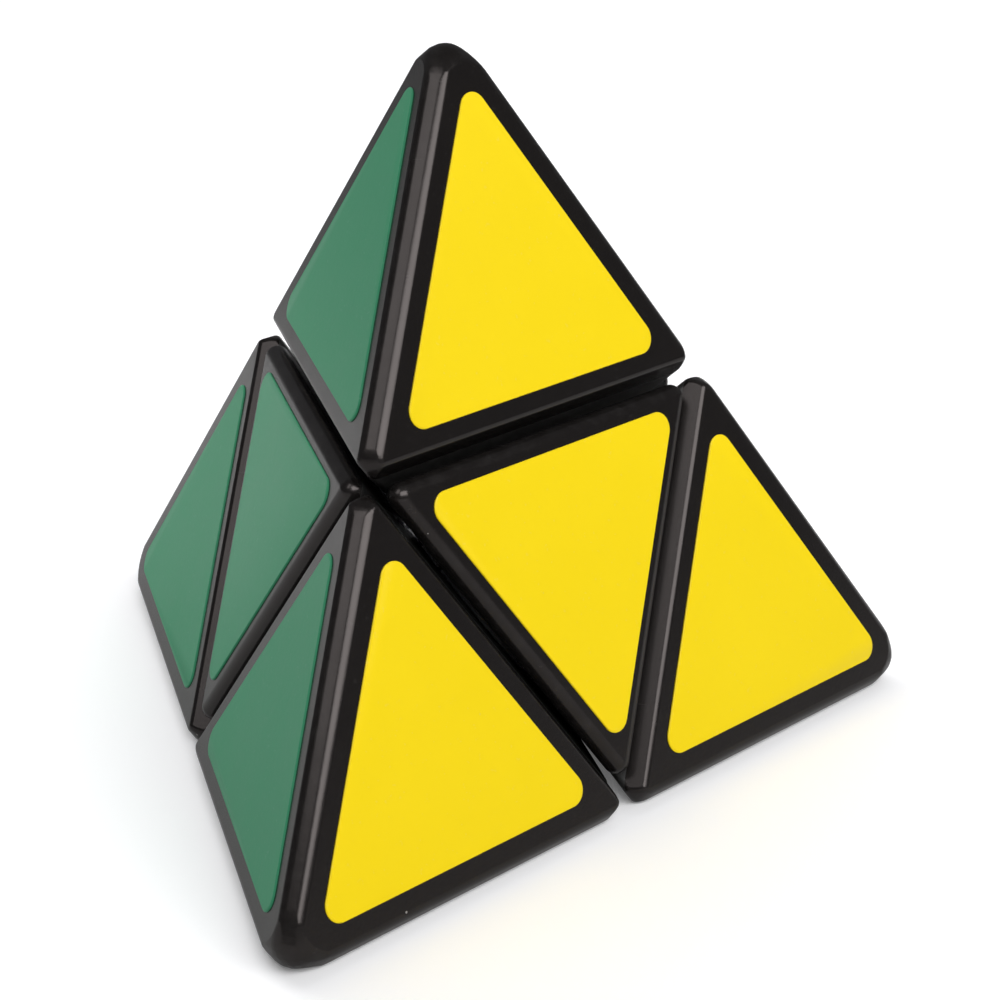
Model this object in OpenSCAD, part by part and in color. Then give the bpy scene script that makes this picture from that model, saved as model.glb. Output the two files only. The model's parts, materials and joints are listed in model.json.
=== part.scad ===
// Pyramid twisty puzzle: a tetrahedron sliced by three planes that cross at right angles in its
// middle. Four corner pieces and four face-centre pieces turn on a hidden ball mechanism.

/* [Pyramid] */
// Length of an edge of the pyramid, measured to its sharp corners
edge_length = 80; // [70:1:98]
// Width of the bevel along each of the six long edges
bevel_width = 1.6; // [1:0.1:2.2]
// Radius of the rounded points of the pyramid
point_radius = 2.7; // [2:0.1:3.2]
// Gap between neighbouring pieces along each slice
slice_gap = 0.6; // [0.4:0.1:0.8]
// Depth of the small bevel where a corner piece meets a slice
corner_piece_bevel = 0.25; // [0.1:0.05:0.4]
// Depth of the larger bevel where a face-centre piece meets a slice
centre_piece_bevel = 1.3; // [0.8:0.1:1.6]

/* [Shells] */
// Wall of the moulded shells and of the inner halves
wall = 1.5; // [1.3:0.1:1.6]

/* [Stickers] */
// Thickness of a vinyl sticker
sticker_thickness = 0.15; // [0.1:0.05:0.3]
// Black border between a sticker and a long edge of the pyramid
outer_border = 3.4; // [3:0.1:4]
// Black border between a sticker and a slice, on a corner piece
inner_border = 2; // [1.6:0.1:2.6]
// Black border round the sticker of a face-centre piece
centre_border = 3.05; // [2.8:0.05:3.6]
// Corner radius of a sticker
sticker_corner = 1.4; // [0.8:0.1:2]

/* [Mechanism] */
// Clearance between the ball mechanism and the bowls of the outer pieces
ball_clearance = 0.3; // [0.2:0.05:0.4]
// Gap between neighbouring hidden pieces
hidden_gap = 0.3; // [0.2:0.05:0.4]
// Radius of the screw shanks
shank_radius = 1; // [0.8:0.05:1.1]
// Running clearance between a cap and the screw it turns on
running_clearance = 0.05; // [0.02:0.01:0.08]
// Diameter of the spring wire
wire = 0.5; // [0.3:0.05:0.5]
// Turns in each spring
spring_turns = 3.5; // [3:0.5:4]

/* [Hidden] */

$fn = 96;
far = 2 * edge_length;
black = [0.09, 0.085, 0.08];
inner_black = [0.14, 0.14, 0.14];
mechanism_grey = [0.25, 0.25, 0.26];
steel = [0.7, 0.71, 0.72];
yellow = [0.96, 0.8, 0.08];
green = [0.2, 0.48, 0.35];
red = [0.72, 0.12, 0.12];
blue = [0.12, 0.25, 0.6];

// The slices cross at the pyramid's centre, and give it its own X, Y and Z axes: +X runs to the
// middle of the top-right edge, +Y to the top-left edge and +Z to the top-front edge. A piece is
// named by the signs of the eighth of space that it fills: four hold a corner of the pyramid,
// and the other four hold the centre of a face.
top = [1, 1, 1];
right = [1, -1, -1];
left = [-1, 1, -1];
front = [-1, -1, 1];
face_yellow = -left;
face_green = -right;
face_red = -front;
face_blue = -top;

// Distances from the centre to a face and to the middle of an edge
face_distance = edge_length / (2 * sqrt(6));
edge_distance = edge_length / (2 * sqrt(2));
rest_height = face_distance + sticker_thickness;

half_gap = slice_gap / 2;
// A bevel on an edge where two faces meet at 70.5 degrees goes this deep
edge_slope = acos(1 / 3) / 2;
bevel_distance = edge_distance - bevel_width / 2 / tan(edge_slope);
// The points of the corner pieces beside the long edges' middles are blunted by this much
tip_trim = 0.9;
// A face-centre piece's three tips end here, as a part of the way to the edges' middles
centre_tip = 0.87 * edge_distance;

// Radii of the ball mechanism: its outside, the step that hooks it together, and its inside
ball = face_distance - 2 * wall - ball_clearance;
step = 0.86 * ball;
bottom = 0.57 * ball;
bowl = ball + ball_clearance;
neck_lap = 0.04 * ball;
hook_gap = 0.3;
// Half widths of a cap's flange and of the narrower space beneath it
flange_half = 0.34 * ball;
foot_half = 0.24 * ball;
half_hidden = hidden_gap / 2;

stem_radius = foot_half - half_hidden - 0.05;
arm_radius = 0.185 * ball;
arm_end = 0.54 * ball;
hub_radius = 0.35 * ball;
cap_bottom = arm_end + 0.1;
pocket_floor = cap_bottom + 0.09 * ball;
pocket_radius = stem_radius - 0.75;
head_radius = pocket_radius - 0.4;
head_height = 0.1 * ball;
washer_radius = pocket_radius - 0.2;
washer_height = 0.35;
head_seat = 0.85 * ball;
pilot_bottom = 0.19 * ball;
pin_radius = 0.065 * ball;
pin_bottom = 0.23 * ball;
pin_top = 0.92 * ball;
fit = 0.02;
axes = [[1, 0, 0], [0, 1, 0], [0, 0, 1], [-1, 0, 0], [0, -1, 0], [0, 0, -1]];

// Puts the pyramid's own axes in place: base down on the table, one corner to the front
module in_place() {
    translate([0, 0, rest_height])
        rotate([0, 0, 90]) rotate([0, -acos(1 / sqrt(3)), 0]) rotate([0, 0, -45])
            children();
}

// Turns +Z to a direction
module towards(direction) {
    unit = direction / norm(direction);
    rotate([0, acos(unit[2]), atan2(unit[1], unit[0])]) children();
}

// Everything past a flat plane that faces a direction, at a distance from the centre
module beyond(direction, distance) {
    towards(direction) translate([-far / 2, -far / 2, distance]) cube(far);
}

// The space on one side of the slices: near is how far it starts from a slice that bounds it, and
// half is its half width across a slice that runs through it
module sector(signs, near, half) {
    translate([for (s = signs) s == 0 ? -half : s > 0 ? near : -far])
        cube([for (s = signs) s == 0 ? 2 * half : far - near]);
}

module hollow_ball(inside, outside) {
    difference() {
        sphere(outside);
        sphere(inside);
    }
}

// Half a turn about one of the pyramid's own axes takes one corner piece to each of the others,
// and one face-centre piece to each of the others
module from_home(home, signs) {
    rotate(a = signs == home ? 0 : 180, v = signs + home) children();
}

// The direction along one of the pyramid's own axes, out to the side where a piece lies
function along(signs, axis) = [for (i = [0:2]) i == axis ? signs[i] : 0];
// The piece on the other side of the slice across that axis
function over(signs, axis) = signs - 2 * along(signs, axis);

// The block of space that a piece may fill, between its slices and a reach along each axis
module block(signs, near, reach) {
    translate([for (s = signs) s > 0 ? near : -reach]) cube(reach - near);
}

// Bevels the line where a face meets the slice across an axis, to a depth below the sharp line
module slice_bevel(signs, face, axis, depth) {
    out = -along(signs, axis);
    lean = face * out;
    sharp = (face - lean * out) * (face_distance * sqrt(3) + half_gap * lean) / 2 - half_gap * out;
    direction = face / sqrt(3) + out;
    beyond(direction, sharp * direction / norm(direction) - depth);
}

// Rounds the point of the top corner piece with a dome that blends into its three bevels
module point_rounding() {
    dome_centre = (bevel_distance - point_radius) * sqrt(3);
    towards(top) rotate_extrude() difference() {
        translate([0, dome_centre + point_radius / sqrt(3)]) square(3 * point_radius);
        translate([0, dome_centre]) circle(point_radius);
    }
}

// The outer form of a corner piece: three faces, three bevelled long edges and one rounded point
module corner_form() {
    difference() {
        block(top, half_gap, bevel_distance);
        sphere(bowl);
        point_rounding();
        for (axis = [0:2]) {
            face = over(top, axis);
            beyond(face, face_distance);
            slice_bevel(top, face, axis, corner_piece_bevel);
            beyond(3 * along(top, axis) - top, (bevel_distance - half_gap) * sqrt(2 / 3) - tip_trim);
        }
    }
}

// The outer form of a face-centre piece: one triangular face with bevelled sides and blunt tips
module centre_form() {
    difference() {
        block(face_blue, half_gap, centre_tip);
        sphere(bowl);
        beyond(face_blue, face_distance);
        for (axis = [0:2]) slice_bevel(face_blue, face_blue, axis, centre_piece_bevel);
    }
}

// The space inside the walls of a corner piece's three faces
module inside_faces() {
    difference() {
        block(top, half_gap, far);
        for (axis = [0:2]) beyond(over(top, axis), face_distance - wall);
    }
}

// The stalk and hook that hold an outer piece under the sliders' flanges
module foot(signs) {
    intersection() {
        sector(signs, flange_half + half_hidden, 0);
        hollow_ball(step - neck_lap, bowl + wall / 2);
    }
    intersection() {
        sector(signs, foot_half + half_hidden, 0);
        hollow_ball(bottom, step - hook_gap);
    }
}

// Outer half of a corner piece, a thin hood with three faces
module corner_shell(signs) {
    color(black) in_place() from_home(top, signs) difference() {
        corner_form();
        inside_faces();
    }
}

// Inner half of a corner piece, an open cup of three slice walls and a bowl, with its foot
module corner_foot(signs) {
    color(inner_black) in_place() from_home(top, signs) {
        difference() {
            intersection() {
                corner_form();
                inside_faces();
            }
            difference() {
                block(top, half_gap + wall, far);
                sphere(bowl + wall);
            }
        }
        foot(top);
    }
}

// Outer half of a face-centre piece, a bevelled triangular plate
module centre_plate(signs) {
    color(black) in_place() from_home(face_blue, signs) intersection() {
        centre_form();
        beyond(face_blue, face_distance - wall);
    }
}

// Inner half of a face-centre piece, with its foot. The blue one is bored for the core's pin.
module centre_foot(signs) {
    color(inner_black) in_place() from_home(face_blue, signs) difference() {
        union() {
            difference() {
                centre_form();
                beyond(face_blue, face_distance - wall);
            }
            foot(face_blue);
        }
        if (signs == face_blue)
            towards(face_blue) cylinder(h = pin_top, r = pin_radius + fit);
    }
}

// A triangle with rounded corners that points along +X, from the radius of the circle inside it
module rounded_triangle(inside_radius) {
    corner = 2 * (inside_radius - sticker_corner);
    turns = [0, 120, 240];
    for (turn = turns) rotate(turn) translate([corner, 0]) circle(sticker_corner);
    polygon([
        for (turn = turns) for (side = [-60, 60])
            corner * [cos(turn), sin(turn)]
                + sticker_corner * [cos(turn + side), sin(turn + side)]
    ]);
}

// Lays a flat shape on a face, turned so that its +X points to the pyramid's corner given
module on_face(face, corner) {
    unit = face / sqrt(3);
    tilt = acos(unit[2]);
    spin = atan2(unit[1], unit[0]);
    across = [cos(tilt) * cos(spin), cos(tilt) * sin(spin), -sin(tilt)];
    turn = atan2(corner * cross(unit, across), corner * across);
    rotate([0, tilt, spin]) rotate(turn) translate([0, 0, face_distance]) children();
}

// A sticker on one of a corner piece's three faces
module corner_sticker(signs, face, colour) {
    cell = edge_length / (4 * sqrt(3));
    inside_radius = cell - (2 * outer_border + inner_border) / 3;
    shift = 2 * (inner_border - outer_border) / 3;
    color(colour) in_place() on_face(face, signs)
        translate([2 * cell + shift, 0])
            linear_extrude(sticker_thickness) rounded_triangle(inside_radius);
}

// The sticker of a face-centre piece, which points away from the pyramid's corners
module centre_sticker(face, colour) {
    cell = edge_length / (4 * sqrt(3));
    color(colour) in_place() on_face(face, over(face, 0)) rotate(180)
        linear_extrude(sticker_thickness) rounded_triangle(cell - centre_border);
}

// The six-armed core, drilled for the screws and for the pin that keeps it from drifting
module core() {
    color(mechanism_grey) in_place() difference() {
        union() {
            sphere(hub_radius);
            for (axis = axes) towards(axis) cylinder(h = arm_end, r = arm_radius);
        }
        for (axis = axes) towards(axis)
            translate([0, 0, pilot_bottom]) cylinder(h = ball, r = shank_radius + fit);
        towards(face_blue) translate([0, 0, pin_bottom]) cylinder(h = ball, r = pin_radius + fit);
    }
}

// The pin that joins the core to the blue centre piece, so that the hidden slices stay lined up
module anchor_pin() {
    color(steel) in_place() towards(face_blue)
        translate([0, 0, pin_bottom]) cylinder(h = pin_top - pin_bottom, r = pin_radius);
}

// One screw along +Z: a pan head with a cross recess, and its shank in the core's arm
module tension_screw() {
    recess = [1.5 * head_radius, 0.25 * head_radius, head_height];
    difference() {
        union() {
            translate([0, 0, head_seat]) cylinder(h = head_height, r = head_radius);
            translate([0, 0, pilot_bottom])
                cylinder(h = head_seat - pilot_bottom + fit, r = shank_radius);
        }
        for (turn = [0, 90])
            rotate(turn) translate([-recess[0] / 2, -recess[1] / 2, head_seat + head_height / 2])
                cube(recess);
    }
}

module tension_screws() {
    color(steel) in_place() for (axis = axes) towards(axis) tension_screw();
}

module spring_washers() {
    color(steel) in_place() for (axis = axes) towards(axis)
        translate([0, 0, head_seat - washer_height]) difference() {
            cylinder(h = washer_height, r = washer_radius);
            translate([0, 0, -1]) cylinder(h = 3, r = shank_radius + 0.1);
        }
}

// One compression spring along +Z, a round wire wound between the cap's floor and the washer
module tension_spring() {
    sides = 6;
    per_turn = 10;
    rings = spring_turns * per_turn;
    coil_radius = (shank_radius + pocket_radius) / 2 - 0.05;
    low = pocket_floor + wire / 2 + 0.05;
    high = head_seat - washer_height - wire / 2 - 0.03;
    rise = [for (i = [0:rings]) low + (high - low) * i / rings];
    points = [
        for (i = [0:rings]) for (j = [0:sides - 1])
            let (
                angle = 360 * i / per_turn,
                reach = coil_radius + wire / 2 * cos(360 * j / sides)
            )
            [reach * cos(angle), reach * sin(angle), rise[i] + wire / 2 * sin(360 * j / sides)]
    ];
    first = [for (j = [0:sides - 1]) j];
    last = [for (j = [sides - 1:-1:0]) rings * sides + j];
    skin = [
        for (i = [0:rings - 1]) for (j = [0:sides - 1])
            let (
                a = i * sides + j,
                b = i * sides + (j + 1) % sides
            )
            [a, a + sides, b + sides, b]
    ];
    polyhedron(points, concat([first], skin, [last]));
}

module tension_springs() {
    color(steel) in_place() for (axis = axes) towards(axis) tension_spring();
}

// A cap on one of the core's arms: a domed flange, and a stem with the spring's pocket
module cap(axis) {
    color(mechanism_grey) in_place() difference() {
        union() {
            intersection() {
                sector(axis, 0, flange_half - half_hidden);
                hollow_ball(step, ball);
            }
            towards(axis) translate([0, 0, cap_bottom])
                cylinder(h = step - cap_bottom + neck_lap, r = stem_radius);
        }
        towards(axis) translate([0, 0, pocket_floor]) cylinder(h = ball, r = pocket_radius);
        towards(axis) cylinder(h = ball, r = shank_radius + running_clearance);
    }
}

// A hidden edge piece between a corner piece and a face-centre piece: its flange holds their
// feet down, and its own foot is held under the flanges of two caps
module slider(corner, centre) {
    signs = (corner + centre) / 2;
    color(mechanism_grey) in_place() {
        intersection() {
            sector(signs, flange_half + half_hidden, flange_half - half_hidden);
            hollow_ball(step, ball);
        }
        intersection() {
            sector(signs, flange_half + half_hidden, foot_half - half_hidden);
            hollow_ball(step - hook_gap - neck_lap, step + neck_lap);
        }
        intersection() {
            sector(signs, foot_half + half_hidden, foot_half - half_hidden);
            hollow_ball(bottom, step - hook_gap);
        }
    }
}

module corner_shell_top() { corner_shell(top); }
module corner_shell_front() { corner_shell(front); }
module corner_shell_right() { corner_shell(right); }
module corner_shell_left() { corner_shell(left); }
module centre_plate_yellow() { centre_plate(face_yellow); }
module centre_plate_green() { centre_plate(face_green); }
module centre_plate_red() { centre_plate(face_red); }
module centre_plate_blue() { centre_plate(face_blue); }
module corner_foot_top() { corner_foot(top); }
module corner_foot_front() { corner_foot(front); }
module corner_foot_right() { corner_foot(right); }
module corner_foot_left() { corner_foot(left); }
module centre_foot_yellow() { centre_foot(face_yellow); }
module centre_foot_green() { centre_foot(face_green); }
module centre_foot_red() { centre_foot(face_red); }
module centre_foot_blue() { centre_foot(face_blue); }
module sticker_top_yellow() { corner_sticker(top, face_yellow, yellow); }
module sticker_top_green() { corner_sticker(top, face_green, green); }
module sticker_top_red() { corner_sticker(top, face_red, red); }
module sticker_front_yellow() { corner_sticker(front, face_yellow, yellow); }
module sticker_front_green() { corner_sticker(front, face_green, green); }
module sticker_front_blue() { corner_sticker(front, face_blue, blue); }
module sticker_right_yellow() { corner_sticker(right, face_yellow, yellow); }
module sticker_right_red() { corner_sticker(right, face_red, red); }
module sticker_right_blue() { corner_sticker(right, face_blue, blue); }
module sticker_left_green() { corner_sticker(left, face_green, green); }
module sticker_left_red() { corner_sticker(left, face_red, red); }
module sticker_left_blue() { corner_sticker(left, face_blue, blue); }
module sticker_centre_yellow() { centre_sticker(face_yellow, yellow); }
module sticker_centre_green() { centre_sticker(face_green, green); }
module sticker_centre_red() { centre_sticker(face_red, red); }
module sticker_centre_blue() { centre_sticker(face_blue, blue); }
module cap_top_right() { cap([1, 0, 0]); }
module cap_top_left() { cap([0, 1, 0]); }
module cap_top_front() { cap([0, 0, 1]); }
module cap_front_left() { cap([-1, 0, 0]); }
module cap_front_right() { cap([0, -1, 0]); }
module cap_left_right() { cap([0, 0, -1]); }
module slider_top_yellow() { slider(top, face_yellow); }
module slider_top_green() { slider(top, face_green); }
module slider_top_red() { slider(top, face_red); }
module slider_front_yellow() { slider(front, face_yellow); }
module slider_front_green() { slider(front, face_green); }
module slider_front_blue() { slider(front, face_blue); }
module slider_right_yellow() { slider(right, face_yellow); }
module slider_right_red() { slider(right, face_red); }
module slider_right_blue() { slider(right, face_blue); }
module slider_left_green() { slider(left, face_green); }
module slider_left_red() { slider(left, face_red); }
module slider_left_blue() { slider(left, face_blue); }

corner_shell_top();
corner_shell_front();
corner_shell_right();
corner_shell_left();
centre_plate_yellow();
centre_plate_green();
centre_plate_red();
centre_plate_blue();
corner_foot_top();
corner_foot_front();
corner_foot_right();
corner_foot_left();
centre_foot_yellow();
centre_foot_green();
centre_foot_red();
centre_foot_blue();
sticker_top_yellow();
sticker_top_green();
sticker_top_red();
sticker_front_yellow();
sticker_front_green();
sticker_front_blue();
sticker_right_yellow();
sticker_right_red();
sticker_right_blue();
sticker_left_green();
sticker_left_red();
sticker_left_blue();
sticker_centre_yellow();
sticker_centre_green();
sticker_centre_red();
sticker_centre_blue();
core();
anchor_pin();
tension_screws();
tension_springs();
spring_washers();
cap_top_right();
cap_top_left();
cap_top_front();
cap_front_left();
cap_front_right();
cap_left_right();
slider_top_yellow();
slider_top_green();
slider_top_red();
slider_front_yellow();
slider_front_green();
slider_front_blue();
slider_right_yellow();
slider_right_red();
slider_right_blue();
slider_left_green();
slider_left_red();
slider_left_blue();
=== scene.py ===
import json
from itertools import combinations
from math import ceil, cos, pi, radians, sin, sqrt

import bmesh
import bpy
import numpy as np
from mathutils import Matrix, Vector


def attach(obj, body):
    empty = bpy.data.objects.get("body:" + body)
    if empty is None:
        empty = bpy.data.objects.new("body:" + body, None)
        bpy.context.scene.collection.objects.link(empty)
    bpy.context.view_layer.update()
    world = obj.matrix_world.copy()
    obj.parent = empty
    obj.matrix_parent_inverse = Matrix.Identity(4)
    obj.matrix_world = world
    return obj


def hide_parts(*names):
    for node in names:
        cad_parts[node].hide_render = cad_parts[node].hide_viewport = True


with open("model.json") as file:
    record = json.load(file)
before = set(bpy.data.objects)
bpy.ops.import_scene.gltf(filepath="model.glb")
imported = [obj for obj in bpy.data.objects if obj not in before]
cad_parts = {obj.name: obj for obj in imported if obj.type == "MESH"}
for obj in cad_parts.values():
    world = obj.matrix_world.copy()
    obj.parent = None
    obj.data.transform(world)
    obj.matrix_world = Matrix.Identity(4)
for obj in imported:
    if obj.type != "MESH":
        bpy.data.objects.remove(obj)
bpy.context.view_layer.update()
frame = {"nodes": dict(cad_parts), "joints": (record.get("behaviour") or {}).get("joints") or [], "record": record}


# ---- Core ----
# The core is one moulding in tough dark grey plastic, with an arm for each of six screws. It sits
# at the puzzle's heart, where the three slices cross, and every other piece is placed from there:
# the arms run along the puzzle's own three axes, and a piece is named by the sides it lies on.
MM = 0.001
turn_joint = frame["joints"][0]
heart = Vector(turn_joint["pos_m"])
third_turns = [Matrix.Rotation(radians(angle), 3, "Z") for angle in (0, 120, 240)]
own_axes = [turn @ Vector(turn_joint["axis"]) for turn in third_turns]
CORNERS = {"top": (1, 1, 1), "right": (1, -1, -1), "left": (-1, 1, -1), "front": (-1, -1, 1)}
OPPOSITE = {"yellow": "left", "green": "right", "red": "front", "blue": "top"}
FACES = {colour: tuple(-s for s in CORNERS[corner]) for colour, corner in OPPOSITE.items()}
node_body = {n: body for body, ns in frame["record"]["behaviour"]["bodies"].items() for n in ns}


def own(signs):
    """A direction given in the puzzle's own axes."""
    return sum((sign * axis for sign, axis in zip(signs, own_axes)), Vector())


def reach(node, direction):
    """How far a CAD node goes from the heart in a direction."""
    return max((v.co - heart).dot(direction) for v in frame["nodes"][node].data.vertices)


def add_node(tree, kind, inputs=(), **settings):
    """Adds a node to a tree. Its inputs are plain values or the outputs of other nodes."""
    node = tree.nodes.new(kind)
    for name, value in settings.items():
        setattr(node, name, value)
    for name, value in dict(inputs).items():
        if isinstance(value, bpy.types.NodeSocket):
            tree.links.new(value, node.inputs[name])
        else:
            node.inputs[name].default_value = value
    return node


def new_group(name, kind, inputs, outputs):
    """A node group with named sockets. Gives the tree, its input sockets and its output node."""
    tree = bpy.data.node_groups.new(name, kind)
    for title, (socket, value) in inputs.items():
        made = tree.interface.new_socket(title, in_out="INPUT", socket_type="NodeSocket" + socket)
        if value is not None:
            made.default_value = value
    for title, socket in outputs.items():
        tree.interface.new_socket(title, in_out="OUTPUT", socket_type="NodeSocket" + socket)
    return tree, tree.nodes.new("NodeGroupInput").outputs, tree.nodes.new("NodeGroupOutput")


# Moulded plastic has a faint grain from the spark-eroded mould, and a gloss that drifts over it
moulded_skin, given, result = new_group(
    "moulded skin", "ShaderNodeTree",
    {
        "Grain scale": ("Float", 2500.0), "Grain depth": ("Float", 0.5),
        "Roughness": ("Float", 0.4), "Roughness drift": ("Float", 0.1),
    },
    {"Height": "Float", "Roughness": "Float"},
)
where = add_node(moulded_skin, "ShaderNodeTexCoord").outputs["Object"]
grain = add_node(moulded_skin, "ShaderNodeTexNoise", {
    "Vector": where, "Scale": given["Grain scale"], "Detail": 3.0, "Roughness": 0.6,
})
drift = add_node(moulded_skin, "ShaderNodeTexNoise", {
    "Vector": where, "Scale": 220.0, "Detail": 4.0, "Roughness": 0.65,
})
depth = add_node(moulded_skin, "ShaderNodeMath", {
    0: grain.outputs["Fac"], 1: given["Grain depth"],
}, operation="MULTIPLY")
centred = add_node(moulded_skin, "ShaderNodeMath", {
    0: drift.outputs["Fac"], 1: 0.5,
}, operation="SUBTRACT")
drifted = add_node(moulded_skin, "ShaderNodeMath", {
    0: centred.outputs[0], 1: given["Roughness drift"], 2: given["Roughness"],
}, operation="MULTIPLY_ADD")
moulded_skin.links.new(depth.outputs[0], result.inputs["Height"])
moulded_skin.links.new(drifted.outputs[0], result.inputs["Roughness"])


# Handling leaves hair scratches in three directions, dust, and rubbed edges where "edge" is high
handling, given, result = new_group(
    "handling", "ShaderNodeTree",
    {"Edge wear": ("Float", 0.5), "Scratches": ("Float", 0.5), "Dust": ("Float", 0.5)},
    {"Worn": "Float", "Scratched": "Float", "Dusty": "Float"},
)
where = add_node(handling, "ShaderNodeTexCoord").outputs["Object"]
edge = add_node(handling, "ShaderNodeAttribute", attribute_name="edge")
rub = add_node(handling, "ShaderNodeTexNoise", {
    "Vector": where, "Scale": 700.0, "Detail": 6.0, "Roughness": 0.7,
})
rubbed = add_node(handling, "ShaderNodeMapRange", {
    "Value": rub.outputs["Fac"], "From Min": 0.42, "From Max": 0.68,
}, interpolation_type="SMOOTHSTEP")
worn = add_node(handling, "ShaderNodeMath", {
    0: edge.outputs["Fac"], 1: rubbed.outputs[0],
}, operation="MULTIPLY")
worn = add_node(handling, "ShaderNodeMath", {
    0: worn.outputs[0], 1: given["Edge wear"],
}, operation="MULTIPLY")
handling.links.new(worn.outputs[0], result.inputs["Worn"])
scratched = None
for turn, cut in (((20, 35, 10), 0.705), ((70, -20, 60), 0.715), ((-40, 15, 115), 0.71)):
    turned = add_node(handling, "ShaderNodeMapping", {
        "Vector": where, "Rotation": [radians(a) for a in turn], "Scale": (90.0, 2600.0, 2600.0),
    })
    streak = add_node(handling, "ShaderNodeTexNoise", {
        "Vector": turned.outputs[0], "Scale": 1.0, "Detail": 2.0, "Roughness": 0.4,
    })
    line = add_node(handling, "ShaderNodeMapRange", {
        "Value": streak.outputs["Fac"], "From Min": cut, "From Max": cut + 0.05,
    })
    if scratched is None:
        scratched = line
    else:
        scratched = add_node(handling, "ShaderNodeMath", {
            0: scratched.outputs[0], 1: line.outputs[0],
        }, operation="MAXIMUM")
scratched = add_node(handling, "ShaderNodeMath", {
    0: scratched.outputs[0], 1: given["Scratches"],
}, operation="MULTIPLY")
handling.links.new(scratched.outputs[0], result.inputs["Scratched"])
specks = add_node(handling, "ShaderNodeTexVoronoi", {"Vector": where, "Scale": 420.0})
speck_size = add_node(handling, "ShaderNodeMath", {
    0: specks.outputs["Color"], 1: 6.0,
}, operation="POWER")
speck_size = add_node(handling, "ShaderNodeMath", {
    0: speck_size.outputs[0], 1: 0.1,
}, operation="MULTIPLY")
dusty = add_node(handling, "ShaderNodeMath", {
    0: specks.outputs["Distance"], 1: speck_size.outputs[0],
}, operation="LESS_THAN")
dusty = add_node(handling, "ShaderNodeMath", {
    0: dusty.outputs[0], 1: given["Dust"],
}, operation="MULTIPLY")
handling.links.new(dusty.outputs[0], result.inputs["Dusty"])


DUST_COLOUR = (0.5, 0.48, 0.45)
GRAIN_HEIGHT = 0.01 * MM


def handled_surface(name, skin, colour, worn_colour, wear, gloss):
    """A material with a skin group's grain and roughness, and marks from handling on its colour."""
    material = bpy.data.materials.new(name)
    material.use_nodes = True
    tree = material.node_tree
    shader = tree.nodes["Principled BSDF"]
    shader.inputs["Specular IOR Level"].default_value = gloss
    surface = add_node(tree, "ShaderNodeGroup", node_tree=skin["group"])
    for title, value in skin["values"].items():
        surface.inputs[title].default_value = value
    marks = add_node(tree, "ShaderNodeGroup", node_tree=handling)
    for title, value in wear.items():
        marks.inputs[title].default_value = value
    base = surface.outputs["Color"] if "Color" in surface.outputs else (*colour, 1.0)
    tints = {"Worn": worn_colour, "Scratched": worn_colour, "Dusty": DUST_COLOUR}
    for mark, tint in tints.items():
        mixed = add_node(tree, "ShaderNodeMix", data_type="RGBA")
        tree.links.new(marks.outputs[mark], mixed.inputs["Factor"])
        if isinstance(base, bpy.types.NodeSocket):
            tree.links.new(base, mixed.inputs["A"])
        else:
            mixed.inputs[6].default_value = base
        mixed.inputs[7].default_value = (*tint, 1.0)
        base = mixed.outputs[2]
    tree.links.new(base, shader.inputs["Base Color"])
    tree.links.new(surface.outputs["Roughness"], shader.inputs["Roughness"])
    bump = add_node(tree, "ShaderNodeBump", {
        "Height": surface.outputs["Height"], "Distance": GRAIN_HEIGHT, "Strength": 1.0,
    })
    tree.links.new(bump.outputs[0], shader.inputs["Normal"])
    return material


PLASTIC_GLOSS = 0.5


def plastic(name, colour, worn_colour, roughness, wear):
    """Moulded plastic with a grained skin."""
    skin = {"group": moulded_skin, "values": {"Roughness": roughness}}
    return handled_surface(name, skin, colour, worn_colour, wear, PLASTIC_GLOSS)


mechanism_grey = plastic(
    "dark grey mechanism plastic", (0.055, 0.055, 0.06), (0.13, 0.13, 0.135), 0.42,
    {"Edge wear": 0.5, "Scratches": 0.3, "Dust": 0.2},
)


def new_piece(name, mesh, material):
    """An object of one material, linked to the scene at the origin."""
    mesh.name = name
    mesh.materials.clear()
    mesh.materials.append(material)
    piece = bpy.data.objects.new(name, mesh)
    bpy.context.scene.collection.objects.link(piece)
    return piece


def fit(piece, node):
    """Puts a finished piece in the place of its CAD node."""
    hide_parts(node)
    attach(piece, node_body[node])


def soften(mesh, width):
    """Takes the sharpness off a moulding's edges, and marks the vertices on them as edges."""
    form = bmesh.new()
    form.from_mesh(mesh)
    bmesh.ops.remove_doubles(form, verts=form.verts, dist=1e-7)
    bmesh.ops.dissolve_limit(form, angle_limit=radians(0.3), verts=form.verts, edges=form.edges)
    sharp = [e for e in form.edges if e.is_manifold and e.calc_face_angle() > radians(40)]
    eased = bmesh.ops.bevel(
        form, geom=sharp, offset=width, offset_type="OFFSET", segments=2, profile=0.5,
        affect="EDGES", clamp_overlap=True,
    )
    on_edge = form.verts.layers.float.new("edge")
    for face in eased["faces"]:
        for vert in face.verts:
            vert[on_edge] = 1.0
    form.to_mesh(mesh)
    form.free()
    mesh.shade_smooth()
    mesh.set_sharp_from_angle(angle=radians(35))


def soften_node(node, name, width, material):
    """Makes a piece from its CAD node's own form, with its edges taken off."""
    mesh = frame["nodes"][node].data.copy()
    soften(mesh, width)
    fit(new_piece(name, mesh, material), node)


MOULDED_EDGE = 0.12 * MM
soften_node("core", "six_armed_core", MOULDED_EDGE, mechanism_grey)


# ---- Anchor pin ----
# A short steel pin is pushed through the blue inner half into the core, so the core can't drift
# out of line with the slices.
steel = handled_surface(
    "bright steel", {"group": moulded_skin, "values": {"Roughness": 0.3, "Grain depth": 0.2}},
    (0.56, 0.57, 0.58), (0.7, 0.7, 0.7), {"Edge wear": 0.4, "Scratches": 0.5, "Dust": 0.0}, 0.5,
)
steel.node_tree.nodes["Principled BSDF"].inputs["Metallic"].default_value = 1.0
PIN_CHAMFER = 0.1 * MM
soften_node("anchor_pin", "dowel_pin", PIN_CHAMFER, steel)


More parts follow.
